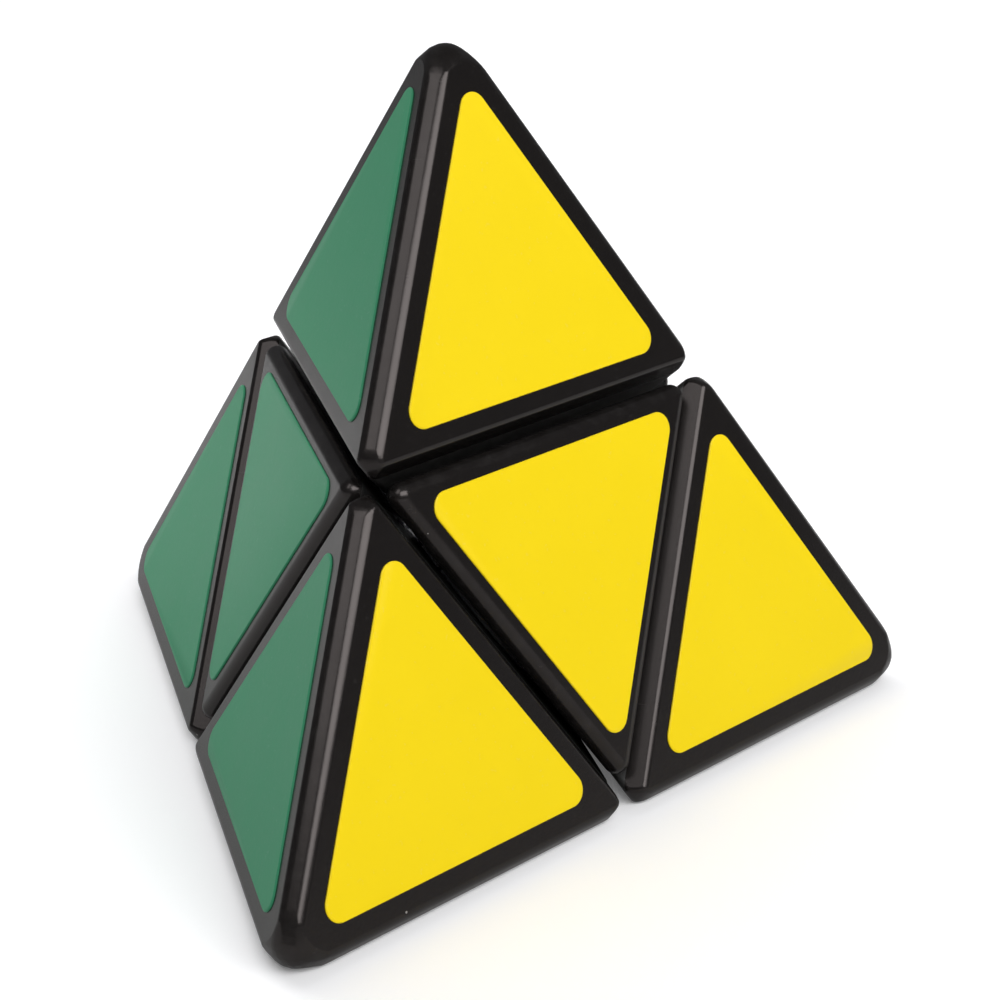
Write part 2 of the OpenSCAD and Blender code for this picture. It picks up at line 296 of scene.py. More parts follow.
# ---- Caps ----
# A grey cap turns on each arm of the core. Its round stem holds a spring in a pocket, and its
# domed flange holds down the feet of the pieces round it.
for node in frame["nodes"]:
    if node.startswith("cap_"):
        soften_node(node, "arm_" + node, MOULDED_EDGE, mechanism_grey)


# ---- Springs ----
# Under each screw head sits a short spring of round steel wire, wound on a mandrel and cut off
# square. It is squeezed between the screw's washer and its cap, and presses the cap to the core.
def on_arm(node):
    """Where a fastener's vertices lie on the first arm: their place along it and off its line."""
    spots = []
    for vertex in frame["nodes"][node].data.vertices:
        along = (vertex.co - heart).dot(own_axes[0])
        off = (vertex.co - heart - along * own_axes[0]).length
        if along > off:
            spots.append((along, off))
    return np.array(spots)


def grown(name, tree, values, mesh=None):
    """A piece that a geometry tree makes, as a plain mesh."""
    piece = bpy.data.objects.new(name, mesh or bpy.data.meshes.new(name))
    bpy.context.scene.collection.objects.link(piece)
    modifier = piece.modifiers.new("tree", "NODES")
    modifier.node_group = tree
    for item in tree.interface.items_tree:
        if item.in_out == "INPUT" and item.name in values:
            modifier[item.identifier] = values[item.name]
    depsgraph = bpy.context.evaluated_depsgraph_get()
    made = bpy.data.meshes.new_from_object(piece.evaluated_get(depsgraph))
    piece.modifiers.clear()
    piece.data = made
    made.name = name
    return piece


ARM_FRAME = {
    "Heart": heart[:],
    "Turn": Matrix(own_axes).transposed().to_euler()[:],
}
six_arms, given, result = new_group(
    "on six arms", "GeometryNodeTree",
    {
        "Geometry": ("Geometry", None), "Heart": ("Vector", (0.0, 0.0, 0.0)),
        "Turn": ("Vector", (0.0, 0.0, 0.0)), "Finish": ("Material", None),
    },
    {"Geometry": "Geometry"},
)
ARM_POINT = 0.01
box = add_node(six_arms, "GeometryNodeMeshCube", {"Size": (2 * ARM_POINT,) * 3})
points = add_node(six_arms, "GeometryNodeMeshToPoints", {"Mesh": box.outputs["Mesh"]}, mode="FACES")
spot = add_node(six_arms, "GeometryNodeInputPosition")
aim = add_node(six_arms, "FunctionNodeAlignRotationToVector", {"Vector": spot.outputs[0]}, axis="Z")
placed = add_node(six_arms, "GeometryNodeInstanceOnPoints", {
    "Points": points.outputs[0], "Instance": given["Geometry"], "Rotation": aim.outputs[0],
})
placed = add_node(six_arms, "GeometryNodeTranslateInstances", {
    "Instances": placed.outputs[0], "Translation": (0.0, 0.0, -ARM_POINT), "Local Space": True,
})
real = add_node(six_arms, "GeometryNodeRealizeInstances", {"Geometry": placed.outputs[0]})
turned = add_node(six_arms, "GeometryNodeTransform", {
    "Geometry": real.outputs[0], "Translation": given["Heart"], "Rotation": given["Turn"],
})
finished = add_node(six_arms, "GeometryNodeSetMaterial", {
    "Geometry": turned.outputs[0], "Material": given["Finish"],
})
six_arms.links.new(finished.outputs[0], result.inputs[0])

wound_springs, given, result = new_group(
    "wound springs", "GeometryNodeTree",
    {
        "Coil radius": ("Float", 0.0016), "Wire radius": ("Float", 0.00025), "Turns": ("Float", 3.5),
        "Bottom": ("Vector", (0.0, 0.0, 0.0)), "Rise": ("Float", 0.002),
        "Heart": ("Vector", (0.0, 0.0, 0.0)), "Turn": ("Vector", (0.0, 0.0, 0.0)),
        "Finish": ("Material", None),
    },
    {"Geometry": "Geometry"},
)
helix = add_node(wound_springs, "GeometryNodeCurveSpiral", {
    "Resolution": 28, "Rotations": given["Turns"], "Start Radius": given["Coil radius"],
    "End Radius": given["Coil radius"], "Height": given["Rise"],
})
wire = add_node(wound_springs, "GeometryNodeCurvePrimitiveCircle", {
    "Resolution": 12, "Radius": given["Wire radius"],
})
spring = add_node(wound_springs, "GeometryNodeCurveToMesh", {
    "Curve": helix.outputs[0], "Profile Curve": wire.outputs[0], "Fill Caps": True,
})
raised = add_node(wound_springs, "GeometryNodeTransform", {
    "Geometry": spring.outputs[0], "Translation": given["Bottom"],
})
spread = add_node(wound_springs, "GeometryNodeGroup", node_tree=six_arms)
wound_springs.links.new(raised.outputs[0], spread.inputs["Geometry"])
wound_springs.links.new(given["Heart"], spread.inputs["Heart"])
wound_springs.links.new(given["Turn"], spread.inputs["Turn"])
wound_springs.links.new(given["Finish"], spread.inputs["Finish"])
wound_springs.links.new(spread.outputs[0], result.inputs[0])

spots = on_arm("tension_springs")
WIRE_RADIUS = 0.25 * MM
spring_low = spots[:, 0].min() + WIRE_RADIUS
springs = grown("coil_springs", wound_springs, {
    "Coil radius": float(spots[:, 1].max() - WIRE_RADIUS), "Wire radius": WIRE_RADIUS,
    "Bottom": (0.0, 0.0, float(spring_low)),
    "Rise": float(spots[:, 0].max() - WIRE_RADIUS - spring_low), "Finish": steel, **ARM_FRAME,
})
springs.data.shade_smooth()
springs.data.set_sharp_from_angle(angle=radians(50))
fit(springs, "tension_springs")


# ---- Washers ----
# A steel washer, pressed out of sheet, lies between each screw head and its spring. It spreads the
# head's load, and the press leaves its edges a little rolled.
SPIN_STEPS = 40


def turned_form(outline):
    """The form that an outline makes when it is spun about +Z. It runs from the bottom up."""
    form = bmesh.new()
    verts = [form.verts.new((radius, 0, height)) for radius, height in outline]
    edges = [form.edges.new(pair) for pair in zip(verts, verts[1:] + verts[:1])]
    bmesh.ops.spin(
        form, geom=verts + edges, cent=(0, 0, 0), axis=(0, 0, 1), angle=2 * pi, steps=SPIN_STEPS,
        use_merge=False,
    )
    bmesh.ops.remove_doubles(form, verts=form.verts, dist=1e-7)
    bmesh.ops.dissolve_degenerate(form, edges=form.edges, dist=1e-8)
    bmesh.ops.recalc_face_normals(form, faces=form.faces)
    return form


def on_arms(name, mesh):
    """Six steel fasteners alike, one on each arm, from one that stands along +Z."""
    piece = grown(name, six_arms, {"Finish": steel, **ARM_FRAME}, mesh)
    piece.data.shade_smooth()
    piece.data.set_sharp_from_angle(angle=radians(35))
    return piece


def mesh_of(form):
    """Turns a form into a mesh and frees the form."""
    mesh = bpy.data.meshes.new("form")
    form.to_mesh(mesh)
    form.free()
    return mesh


spots = on_arm("spring_washers")
low, high = spots[:, 0].min(), spots[:, 0].max()
inner, outer = spots[:, 1].min(), spots[:, 1].max()
ROLLED = 0.07 * MM
washer = turned_form([
    (inner, low + ROLLED), (inner + ROLLED, low), (outer - ROLLED, low), (outer, low + ROLLED),
    (outer, high - ROLLED), (outer - ROLLED, high), (inner + ROLLED, high), (inner, high - ROLLED),
])
fit(on_arms("pressed_washers", mesh_of(washer)), "spring_washers")


# ---- Screws ----
# A steel pan-head screw with a cross recess goes through each washer, spring and cap into the
# core. It sets how hard the layers press together.
def combined(stock_mesh, tool_mesh, how):
    """One form with another taken away from it, or what two forms share."""
    stock = new_piece("stock", stock_mesh, steel)
    tool = new_piece("tool", tool_mesh, steel)
    cut = stock.modifiers.new("cut", "BOOLEAN")
    cut.object = tool
    cut.operation = how
    cut.solver = "EXACT"
    depsgraph = bpy.context.evaluated_depsgraph_get()
    mesh = bpy.data.meshes.new_from_object(stock.evaluated_get(depsgraph))
    bpy.data.objects.remove(stock)
    bpy.data.objects.remove(tool)
    return mesh


spots = on_arm("tension_screws")
low, high = spots[:, 0].min(), spots[:, 0].max()
head = spots[:, 1].max()
shank = spots[spots[:, 0] < (low + high) / 2, 1].max()
seat = spots[spots[:, 1] > 0.99 * head, 0].min()
pan = high - seat
TIP_FLAT = 0.55
TIP_TAPER = 0.45
CROWN = 0.6
profile = [
    (0.0, low), (TIP_FLAT * shank, low), (shank, low + TIP_TAPER * shank), (shank, seat),
    (head, seat),
]
profile += [
    (head - CROWN * pan * (1 - cos(radians(lean))), high - CROWN * pan * (1 - sin(radians(lean))))
    for lean in range(0, 91, 15)
]
profile.append((0.0, high))
recess_wing = 0.12 * head
RECESS_FLOOR = (0.55, 0.4)
RECESS_MOUTH = (0.1, 0.7)
recess = bmesh.new()
rings = []
for height, scale in (
    (high - RECESS_FLOOR[0] * pan, RECESS_FLOOR[1]), (high + RECESS_MOUTH[0] * pan, RECESS_MOUTH[1]),
):
    ring = []
    arm_end = scale * head
    for quarter in range(4):
        turn = Matrix.Rotation(quarter * pi / 2, 3, "Z")
        for x, y in ((recess_wing, recess_wing), (recess_wing, arm_end), (-recess_wing, arm_end)):
            ring.append(recess.verts.new(turn @ Vector((x, y, height))))
    rings.append(ring)
recess.faces.new(rings[0])
recess.faces.new(rings[1])
for i in range(len(rings[0])):
    recess.faces.new([rings[0][i - 1], rings[0][i], rings[1][i], rings[1][i - 1]])
bmesh.ops.recalc_face_normals(recess, faces=recess.faces)
screw = combined(mesh_of(turned_form(profile)), mesh_of(recess), "DIFFERENCE")
fit(on_arms("pan_head_screws", screw), "tension_screws")


# ---- Sliders ----
# Twelve edge pieces, moulded in the same grey plastic as the core, lie loose between the caps.
# Their flanges hold down the feet of the outer pieces, and their own feet slide under the caps.
for node in frame["nodes"]:
    if node.startswith("slider_"):
        soften_node(node, "edge_" + node, MOULDED_EDGE, mechanism_grey)


# ---- Inner halves ----
# Behind each hood and plate is a plain black moulding with the slice walls, a bowl that clears the
# ball mechanism, and a foot that hooks under the sliders. Its outline is rounded at the ends of
# the long edges, as the hood over it is.
inner_black = plastic(
    "inner black plastic", (0.012, 0.0115, 0.011), (0.04, 0.039, 0.037), 0.42,
    {"Edge wear": 0.4, "Scratches": 0.3, "Dust": 0.5},
)
face_out = {colour: own(signs).normalized() for colour, signs in FACES.items()}
corner_out = {corner: own(signs).normalized() for corner, signs in CORNERS.items()}
face_distance = reach("centre_plate_blue", face_out["blue"])
wall = face_distance + reach("centre_plate_blue", -face_out["blue"])
half_gap = -reach("corner_shell_top", -own_axes[0])
ARC_STEP = radians(15)
NEAR = 0.002 * MM
LEAST_FLAT = 0.002 * MM * MM


def arc(start, end):
    """Directions on the way from one to another, both included."""
    count = max(1, ceil(start.angle(end) / ARC_STEP))
    return [start.slerp(end, i / count) if i else start.copy() for i in range(count)] + [end.copy()]


def rounded_solid(planes, radius):
    """The solid inside a set of planes, with every edge and corner rounded to one radius.

    A plane that would leave only a speck of a flat is dropped."""
    outward = np.array([direction for direction, _ in planes])
    inset = np.array([distance - radius for _, distance in planes])
    trios = np.array(list(combinations(range(len(planes)), 3)))
    trios = trios[abs(np.linalg.det(outward[trios])) > 1e-5]
    meets = np.linalg.solve(outward[trios], inset[trios][..., None])[..., 0]
    meets = meets[(meets @ outward.T <= inset + NEAR / 2).all(axis=1)]
    corners = []
    for meet in meets:
        if all(np.linalg.norm(meet - corner) > NEAR for corner in corners):
            corners.append(meet)
    rings = {}
    specks = set()
    for plane, (direction, _) in enumerate(planes):
        ring = [i for i, c in enumerate(corners) if abs(c @ outward[plane] - inset[plane]) < NEAR]
        if len(ring) < 3:
            continue
        middle = Vector(np.mean([corners[i] for i in ring], axis=0))
        across = (Vector(corners[ring[0]]) - middle).normalized()
        along = direction.cross(across)
        spread = {i: Vector(corners[i]) - middle for i in ring}
        ring.sort(key=lambda i: np.arctan2(spread[i].dot(along), spread[i].dot(across)))
        area = sum(spread[i].cross(spread[j]).length for i, j in zip(ring, ring[1:] + ring[:1])) / 2
        rings[plane] = ring
        if area < LEAST_FLAT:
            specks.add(plane)
    if specks:
        return rounded_solid([p for i, p in enumerate(planes) if i not in specks], radius)

    plane_of = {}
    before = {}
    form = bmesh.new()
    kept = form.verts.layers.float_vector.new("outward")

    def grow(corner, direction):
        vert = form.verts.new(heart + Vector(corners[corner]) + radius * direction)
        vert[kept] = direction
        return vert

    for plane, ring in rings.items():
        form.faces.new([grow(i, planes[plane][0]) for i in ring])
        for i, following in enumerate(ring[1:] + ring[:1]):
            plane_of[ring[i], following] = plane
            before[plane, following] = ring[i]
    for (start, end), plane in plane_of.items():
        other = plane_of[end, start]
        if plane < other:
            sweep = arc(planes[plane][0], planes[other][0])
            for low, high in zip(sweep, sweep[1:]):
                form.faces.new([grow(end, low), grow(start, low), grow(start, high), grow(end, high)])
    for corner in range(len(corners)):
        start = next(end for begin, end in plane_of if begin == corner)
        end = start
        rim = []
        while True:
            plane = plane_of[corner, end]
            rim += arc(planes[plane_of[end, corner]][0], planes[plane][0])[:-1]
            end = before[plane, corner]
            if end == start:
                break
        cap_corner(form, corner, rim, grow)
    bmesh.ops.remove_doubles(form, verts=form.verts, dist=2e-7)
    return form


def cap_corner(form, corner, rim, grow):
    """Closes the rounded patch at a corner with rings that shrink to its middle."""
    if len(rim) == 3:
        form.faces.new([grow(corner, direction) for direction in rim])
        return
    middle = sum(rim, Vector()).normalized()
    rings = max(1, ceil(max(middle.angle(direction) for direction in rim) / ARC_STEP))
    inner = rim
    for ring in range(1, rings + 1):
        outer = inner
        inner = [direction.slerp(middle, ring / rings) for direction in rim]
        for i in range(len(rim)):
            j = (i + 1) % len(rim)
            patch = [grow(corner, outer[i]), grow(corner, outer[j])]
            if ring < rings:
                patch += [grow(corner, inner[j]), grow(corner, inner[i])]
            else:
                patch.append(grow(corner, middle))
            form.faces.new(patch)


def from_home(home, signs):
    """Half a turn about one of the puzzle's own axes takes a piece from home to its place."""
    if home == signs:
        return Matrix.Identity(4)
    turn = Matrix.Rotation(pi, 4, own([a + b for a, b in zip(home, signs)]))
    return Matrix.Translation(heart) @ turn @ Matrix.Translation(-heart)


def slices(signs):
    """The planes of the three slices, as a piece in that eighth of space meets them."""
    return [(-sign * axis, -half_gap) for sign, axis in zip(signs, own_axes)]


INNER_ROUNDING = 0.04 * MM
POINT_RADIUS = 2.15 * MM
TIP_RADIUS = 2.4 * MM
BLEND_TILT = radians(22)
EDGE_ROUNDING = 0.6 * MM
BEVEL_ROUNDING = 1.05 * MM
PLATE_ROUNDING = 1.1 * MM
DOME_STEPS = 8
DOME_RIM = 0.29
CURL_FROM = radians(9)
CURL_TO = radians(81)
CURL_STEPS = 8
BLEND_STEPS = 4
bevel_distance = reach("corner_shell_top", own_axes[0])
top_faces = [face_out[colour] for colour in ("yellow", "green", "red")]
dome_centre = (3 * (face_distance - POINT_RADIUS)) * corner_out["top"]


def fan(centre, radius, start, end, lean_from, lean_to, steps):
    """Planes that touch an arc, which turns from one direction towards another."""
    touching = []
    for step in range(steps + 1):
        lean = lean_from + (lean_to - lean_from) * step / steps
        outward = cos(lean) * start + sin(lean) * end
        touching.append((outward, centre.dot(outward) + radius))
    return touching


def corner_planes():
    """The planes round the top corner piece."""
    planes = [(face, face_distance) for face in top_faces]
    planes += slices(CORNERS["top"])
    for axis in own_axes:
        to_point = (sum(own_axes, Vector()) - axis).normalized()
        planes.append((axis, bevel_distance))
        tip = (bevel_distance - TIP_RADIUS) * axis + (sqrt(2) * half_gap + TIP_RADIUS) * to_point
        planes += fan(tip, TIP_RADIUS, axis, -to_point, CURL_FROM, CURL_TO, CURL_STEPS)
        short = bevel_distance - dome_centre.dot(axis) - POINT_RADIUS
        wider = short / (1 - cos(BLEND_TILT))
        blend = dome_centre - wider * (cos(BLEND_TILT) * axis + sin(BLEND_TILT) * to_point)
        planes += fan(
            blend, POINT_RADIUS + wider, axis, to_point, BLEND_TILT / 5, BLEND_TILT, BLEND_STEPS,
        )
        for face in top_faces:
            if face.dot(axis) > 0:
                to_face = (face - face.dot(axis) * axis).normalized()
                middle = (bevel_distance - BEVEL_ROUNDING) * axis
                short_of_face = face_distance - BEVEL_ROUNDING - middle.dot(face)
                middle += short_of_face / face.dot(to_face) * to_face
                turn = face.angle(axis)
                planes += fan(middle, BEVEL_ROUNDING, axis, to_face, turn / 4, 3 * turn / 4, 2)
    rim = [(face + DOME_RIM * corner_out["top"]).normalized() for face in top_faces]
    for i in range(DOME_STEPS + 1):
        for j in range(DOME_STEPS + 1 - i):
            outward = (i * rim[0] + j * rim[1] + (DOME_STEPS - i - j) * rim[2]).normalized()
            if min(outward.angle(axis) for axis in own_axes) > 1.1 * BLEND_TILT:
                planes.append((outward, dome_centre.dot(outward) + POINT_RADIUS))
    return planes


corner_form = mesh_of(rounded_solid(corner_planes(), EDGE_ROUNDING))
centre_form = mesh_of(rounded_solid(
    [(face_out["blue"], face_distance)] + slices(FACES["blue"]), PLATE_ROUNDING,
))


def inner_half(node, name, form, turn):
    """A CAD inner half, trimmed to the rounded form that its hood or plate has."""
    stock = bmesh.new()
    stock.from_mesh(frame["nodes"][node].data)
    bmesh.ops.remove_doubles(stock, verts=stock.verts, dist=1e-7)
    outline = form.copy()
    outline.transform(turn)
    mesh = combined(mesh_of(stock), outline, "INTERSECT")
    soften(mesh, INNER_ROUNDING)
    fit(new_piece(name, mesh, inner_black), node)


for corner, signs in CORNERS.items():
    turn = from_home(CORNERS["top"], signs)
    inner_half("corner_foot_" + corner, "inner_half_" + corner, corner_form, turn)
for colour, signs in FACES.items():
    turn = from_home(FACES["blue"], signs)
    inner_half("centre_foot_" + colour, "inner_half_" + colour, centre_form, turn)


# ---- Face-centre plates ----
# Each face has a triangular plate between its three corner pieces, moulded in black plastic with
# fat rounded edges along the slices. It is welded to the inner half behind it.
shell_black = plastic(
    "black shell plastic", (0.006, 0.0052, 0.0048), (0.035, 0.033, 0.032), 0.24,
    {"Edge wear": 0.2, "Scratches": 0.3, "Dust": 0.6},
)
WARM_REFLECTION = (1.0, 0.9, 0.88, 1.0)
shell_shader = shell_black.node_tree.nodes["Principled BSDF"]
shell_shader.inputs["Specular Tint"].default_value = WARM_REFLECTION
SAME_ROUNDING = cos(radians(25))
OFF_THE_FACET = cos(radians(35))


def shade_like_moulding(mesh, turn, flat_area):
    """Shades a rounded form by the outward directions kept on it, eased between its facets.

    Big flats stay flat in the light. The vertices on roundings are marked as edges."""
    kept = [turn.to_3x3() @ value.vector for value in mesh.attributes["outward"].data]
    flat = [False] * len(kept)
    for polygon in mesh.polygons:
        if polygon.area > flat_area:
            for index in polygon.vertices:
                flat[index] = True
    eased = [2 * direction for direction in kept]
    for edge in mesh.edges:
        for here, there in (edge.vertices, reversed(edge.vertices)):
            if kept[here].dot(kept[there]) > SAME_ROUNDING:
                eased[here] += kept[there]
    normals = []
    for polygon in mesh.polygons:
        for index in polygon.vertices:
            outward = kept[index] if flat[index] else eased[index].normalized()
            if outward.dot(polygon.normal) < 0:
                outward = -outward
            if outward.dot(polygon.normal) < OFF_THE_FACET:
                outward = polygon.normal.copy()
            normals.append(outward)
    mesh.shade_smooth()
    mesh.normals_split_custom_set(normals)
    mesh.attributes.remove(mesh.attributes["outward"])
    edge = mesh.attributes.new("edge", "FLOAT", "POINT")
    edge.data.foreach_set("value", [0.0 if is_flat else 1.0 for is_flat in flat])


FLAT_AREA = 50 * MM * MM
plate_form = bmesh.new()
plate_form.from_mesh(centre_form)
cut = bmesh.ops.bisect_plane(
    plate_form, geom=plate_form.verts[:] + plate_form.edges[:] + plate_form.faces[:],
    plane_co=heart + (face_distance - wall) * face_out["blue"], plane_no=face_out["blue"],
    clear_inner=True,
)
rim = [item for item in cut["geom_cut"] if isinstance(item, bmesh.types.BMEdge)]
bmesh.ops.contextual_create(plate_form, geom=rim)
bmesh.ops.recalc_face_normals(plate_form, faces=plate_form.faces)
plate = mesh_of(plate_form)
for colour, signs in FACES.items():
    mesh = plate.copy()
    turn = from_home(FACES["blue"], signs)
    mesh.transform(turn)
    shade_like_moulding(mesh, turn, FLAT_AREA)
    fit(new_piece("plate_" + colour, mesh, shell_black), "centre_plate_" + colour)


# ---- Corner hoods ----
# A corner piece's outer half is a thin hood with three faces. Its three long edges are bevelled,
# its point is rounded, and the ends of the long edges curl in towards the slice.
inside = [(face, face_distance - wall) for face in top_faces]
PAST_THE_SLICES = 1 * MM
inside += [(-axis, PAST_THE_SLICES) for axis in own_axes]
hood = combined(corner_form, mesh_of(rounded_solid(inside, INNER_ROUNDING)), "DIFFERENCE")
for corner, signs in CORNERS.items():
    mesh = hood.copy()
    turn = from_home(CORNERS["top"], signs)
    mesh.transform(turn)
    shade_like_moulding(mesh, turn, FLAT_AREA)
    fit(new_piece("hood_" + corner, mesh, shell_black), "corner_shell_" + corner)


# ---- Stickers ----
# Each face of each piece carries a die-cut sticker of coloured vinyl with rounded corners, laid
# on by hand with an even black border.
vinyl_skin, given, result = new_group(
    "vinyl skin", "ShaderNodeTree",
    {
        "Colour": ("Color", (0.8, 0.8, 0.8, 1.0)), "Mottle": ("Float", 0.06),
        "Roughness": ("Float", 0.35), "Ripple": ("Float", 1.0),
    },
    {"Color": "Color", "Height": "Float", "Roughness": "Float"},
)
where = add_node(vinyl_skin, "ShaderNodeTexCoord").outputs["Object"]
cloud = add_node(vinyl_skin, "ShaderNodeTexNoise", {
    "Vector": where, "Scale": 90.0, "Detail": 5.0, "Roughness": 0.6,
})
value = add_node(vinyl_skin, "ShaderNodeMath", {
    0: cloud.outputs["Fac"], 1: 0.5,
}, operation="SUBTRACT")
value = add_node(vinyl_skin, "ShaderNodeMath", {
    0: value.outputs[0], 1: given["Mottle"], 2: 1.0,
}, operation="MULTIPLY_ADD")
shade = add_node(vinyl_skin, "ShaderNodeHueSaturation", {
    "Color": given["Colour"], "Value": value.outputs[0],
})
peel = add_node(vinyl_skin, "ShaderNodeTexNoise", {
    "Vector": where, "Scale": 1500.0, "Detail": 2.0, "Roughness": 0.5,
})
peel = add_node(vinyl_skin, "ShaderNodeMath", {
    0: peel.outputs["Fac"], 1: given["Ripple"],
}, operation="MULTIPLY")
rough = add_node(vinyl_skin, "ShaderNodeMath", {
    0: cloud.outputs["Fac"], 1: 0.12, 2: given["Roughness"],
}, operation="MULTIPLY_ADD")
vinyl_skin.links.new(shade.outputs[0], result.inputs["Color"])
vinyl_skin.links.new(peel.outputs[0], result.inputs["Height"])
vinyl_skin.links.new(rough.outputs[0], result.inputs["Roughness"])

VINYL = {
    "yellow": (0.93, 0.69, 0.003), "green": (0.048, 0.31, 0.155),
    "red": (0.5, 0.02, 0.02), "blue": (0.015, 0.07, 0.33),
}
vinyl = {}
VINYL_GLOSS = 0.25
for colour, tint in VINYL.items():
    skin = {"group": vinyl_skin, "values": {"Colour": (*tint, 1.0)}}
    vinyl[colour] = handled_surface(
        colour + " vinyl", skin, tint, [0.6 * c + 0.35 for c in tint],
        {"Edge wear": 0.0, "Scratches": 0.1, "Dust": 0.1}, VINYL_GLOSS,
    )

sticker_tree, given, result = new_group(
    "die-cut sticker", "GeometryNodeTree",
    {
        "Inside radius": ("Float", 0.008), "Corner radius": ("Float", 0.001),
        "Thickness": ("Float", 0.0001), "Vinyl": ("Material", None),
    },
    {"Geometry": "Geometry"},
)
circumradius = add_node(sticker_tree, "ShaderNodeMath", {
    0: given["Inside radius"], 1: 2.0,
}, operation="MULTIPLY")
outline = add_node(sticker_tree, "GeometryNodeCurvePrimitiveCircle", {
    "Resolution": 3, "Radius": circumradius.outputs[0],
})
outline = add_node(sticker_tree, "GeometryNodeFilletCurve", {
    "Curve": outline.outputs["Curve"], "Radius": given["Corner radius"], "Count": 14,
}, mode="POLY")
sheet = add_node(sticker_tree, "GeometryNodeFillCurve", {
    "Curve": outline.outputs[0],
}, mode="NGONS")
wall_height = add_node(sticker_tree, "ShaderNodeMath", {
    0: given["Thickness"], 1: 0.6,
}, operation="MULTIPLY")
rim_height = add_node(sticker_tree, "ShaderNodeMath", {
    0: given["Thickness"], 1: 0.4,
}, operation="MULTIPLY")
side = add_node(sticker_tree, "GeometryNodeExtrudeMesh", {
    "Mesh": sheet.outputs[0], "Offset Scale": wall_height.outputs[0], "Individual": False,
}, mode="FACES")
rounding = add_node(sticker_tree, "GeometryNodeExtrudeMesh", {
    "Mesh": side.outputs["Mesh"], "Selection": side.outputs["Top"],
    "Offset Scale": rim_height.outputs[0], "Individual": False,
}, mode="FACES")
shrink = add_node(sticker_tree, "ShaderNodeMath", {
    0: rim_height.outputs[0], 1: given["Inside radius"],
}, operation="DIVIDE")
shrink = add_node(sticker_tree, "ShaderNodeMath", {
    0: 1.0, 1: shrink.outputs[0],
}, operation="SUBTRACT")
top = add_node(sticker_tree, "GeometryNodeScaleElements", {
    "Geometry": rounding.outputs["Mesh"], "Selection": rounding.outputs["Top"],
    "Scale": shrink.outputs[0],
})
back = add_node(sticker_tree, "GeometryNodeFlipFaces", {"Mesh": sheet.outputs[0]})
closed = add_node(sticker_tree, "GeometryNodeJoinGeometry")
sticker_tree.links.new(top.outputs[0], closed.inputs[0])
sticker_tree.links.new(back.outputs[0], closed.inputs[0])
closed = add_node(sticker_tree, "GeometryNodeMergeByDistance", {
    "Geometry": closed.outputs[0], "Distance": 1e-7,
})
real = add_node(sticker_tree, "GeometryNodeRealizeInstances", {"Geometry": closed.outputs[0]})
coloured = add_node(sticker_tree, "GeometryNodeSetMaterial", {
    "Geometry": real.outputs[0], "Material": given["Vinyl"],
})
sticker_tree.links.new(coloured.outputs[0], result.inputs[0])


def lay_sticker(name, node, colour, points_to, centred):
    """Makes a sticker to its CAD node's outline and lays it on its face."""
    out = face_out[colour]
    ahead = (points_to - points_to.dot(out) * out).normalized()
    tip, tail = reach(node, ahead), -reach(node, -ahead)
    inside_radius = -tail if centred else (tip - tail + sticker_corner) / 3
    thickness = reach(node, out) - face_distance
    piece = grown(name, sticker_tree, {
        "Inside radius": inside_radius, "Corner radius": sticker_corner,
        "Thickness": thickness, "Vinyl": vinyl[colour],
    })
    place = Matrix((ahead, out.cross(ahead), out)).transposed().to_4x4()
    place.translation = heart + face_distance * out + (tail + inside_radius) * ahead
    piece.data.transform(place)
    piece.data.shade_smooth()
    piece.data.set_sharp_from_angle(angle=radians(30))
    fit(piece, node)


blue_ahead = -corner_out["right"]
blue_ahead = (blue_ahead - blue_ahead.dot(face_out["blue"]) * face_out["blue"]).normalized()
blue_tail = reach("sticker_centre_blue", -blue_ahead)
sticker_corner = 2 * blue_tail - reach("sticker_centre_blue", blue_ahead)
for colour in FACES:
    for corner in CORNERS:
        if OPPOSITE[colour] != corner:
            node = f"sticker_{corner}_{colour}"
            lay_sticker(f"vinyl_{corner}_{colour}", node, colour, corner_out[corner], False)
    neighbour = next(c for c in CORNERS if OPPOSITE[colour] != c)
    lay_sticker(
        "vinyl_centre_" + colour, "sticker_centre_" + colour, colour, -corner_out[neighbour], True,
    )


# ---- Table, light and camera ----
# The puzzle stands on a plain white table under soft studio lights. The table throws less light
# back at the puzzle than the camera sees on it, and it pales with distance into the white room.
def flat_panel(name, width, depth):
    mesh = bpy.data.meshes.new(name)
    corners = [(x * width / 2, y * depth / 2, 0) for x, y in ((-1, -1), (1, -1), (1, 1), (-1, 1))]
    mesh.from_pydata(corners, [], [(0, 1, 2, 3)])
    panel = bpy.data.objects.new(name, mesh)
    bpy.context.scene.collection.objects.link(panel)
    return panel


TABLE_SIZE = 4.0
table = flat_panel("table", TABLE_SIZE, TABLE_SIZE)
table_white = bpy.data.materials.new("white table")
table_white.use_nodes = True
shader = table_white.node_tree.nodes["Principled BSDF"]
shader.inputs["Roughness"].default_value = 0.7
shader.inputs["Specular IOR Level"].default_value = 0.1
seen = add_node(table_white.node_tree, "ShaderNodeLightPath").outputs["Is Camera Ray"]
paper = add_node(table_white.node_tree, "ShaderNodeMix", {"Factor": seen}, data_type="RGBA")
paper.inputs[6].default_value = (0.5, 0.5, 0.5, 1.0)
paper.inputs[7].default_value = (0.96, 0.96, 0.97, 1.0)
table_white.node_tree.links.new(paper.outputs[2], shader.inputs["Base Color"])
place = add_node(table_white.node_tree, "ShaderNodeTexCoord").outputs["Object"]
away = add_node(table_white.node_tree, "ShaderNodeVectorMath", {0: place}, operation="LENGTH")
horizon = add_node(table_white.node_tree, "ShaderNodeMapRange", {
    "Value": away.outputs["Value"], "From Min": 0.15, "From Max": 0.6, "To Min": 0.11, "To Max": 1.0,
})
glow = add_node(table_white.node_tree, "ShaderNodeMath", {
    0: seen, 1: horizon.outputs["Result"],
}, operation="MULTIPLY")
shader.inputs["Emission Color"].default_value = (1.0, 1.0, 1.0, 1.0)
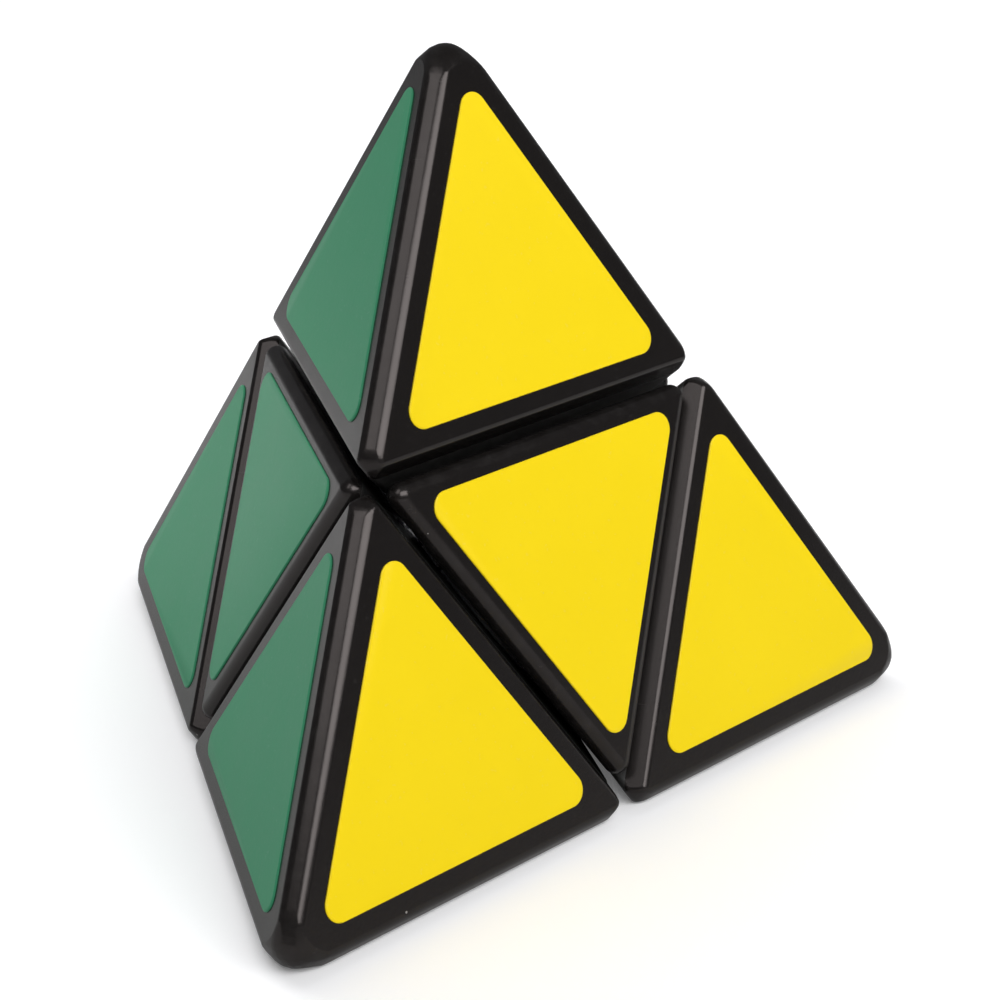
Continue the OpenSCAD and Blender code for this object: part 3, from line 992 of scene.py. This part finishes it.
table_white.node_tree.links.new(glow.outputs[0], shader.inputs["Emission Strength"])
table.data.materials.append(table_white)

world = bpy.data.worlds.new("studio")
bpy.context.scene.world = world
world.use_nodes = True
tree = world.node_tree
seen = add_node(tree, "ShaderNodeLightPath").outputs["Is Camera Ray"]
room = add_node(tree, "ShaderNodeMix", data_type="RGBA")
tree.links.new(seen, room.inputs["Factor"])
room.inputs[6].default_value = (0.12, 0.12, 0.125, 1.0)
room.inputs[7].default_value = (1.0, 1.0, 1.0, 1.0)
tree.links.new(room.outputs[2], tree.nodes["Background"].inputs["Color"])


def softbox(name, direction, distance, width, height, radiance, in_gloss=True, in_matt=True):
    """A soft light that faces the heart. It can be kept out of reflections, or light only them."""
    light = bpy.data.lights.new(name, "AREA")
    light.shape = "RECTANGLE"
    light.size = width
    light.size_y = height
    light.energy = radiance * pi * width * height
    lamp = bpy.data.objects.new(name, light)
    lamp.location = heart + distance * Vector(direction).normalized()
    lamp.rotation_euler = Vector(direction).to_track_quat("Z", "Y").to_euler()
    lamp.visible_glossy = in_gloss
    lamp.visible_diffuse = in_matt
    lamp.visible_camera = False
    bpy.context.scene.collection.objects.link(lamp)


softbox("right softbox", (0.53, -0.54, 0.68), 0.8, 0.85, 0.45, 4.45)
softbox("near right softbox", (0.75, -0.05, 0.66), 0.2, 0.12, 0.12, 1.5, in_gloss=False)
softbox("front softbox", (-0.26, -0.54, 0.80), 0.8, 0.30, 0.5, 2.0, in_matt=False)
softbox("near left softbox", (-0.77, 0.45, 0.45), 0.222, 0.15, 0.15, 3.4, in_gloss=False)
softbox("overhead softbox", (-0.2, 0.6, 0.8), 1.3, 1.7, 1.2, 1.3, in_gloss=False)

FULL_FRAME = 36.0
LENS = 95.0
CAMERA_LIFT = 0.15 * MM
CAMERA_ROLL = radians(-0.55)
edge_length = 2 * sqrt(6) * face_distance
camera_data = bpy.data.cameras.new("camera")
camera_data.sensor_width = FULL_FRAME
camera_data.lens = LENS
camera = bpy.data.objects.new("camera", camera_data)
looking = Vector((-0.2341, 0.8914, -0.3882)).normalized()
camera.location = edge_length * Vector((0.7166, -2.4973, 1.3644)) + Vector((0, 0, CAMERA_LIFT))
roll = Matrix.Rotation(CAMERA_ROLL, 4, looking)
camera.rotation_euler = (roll @ looking.to_track_quat("-Z", "Y").to_matrix().to_4x4()).to_euler()
bpy.context.scene.collection.objects.link(camera)
bpy.context.scene.camera = camera
bpy.context.scene.view_settings.view_transform = "Standard"
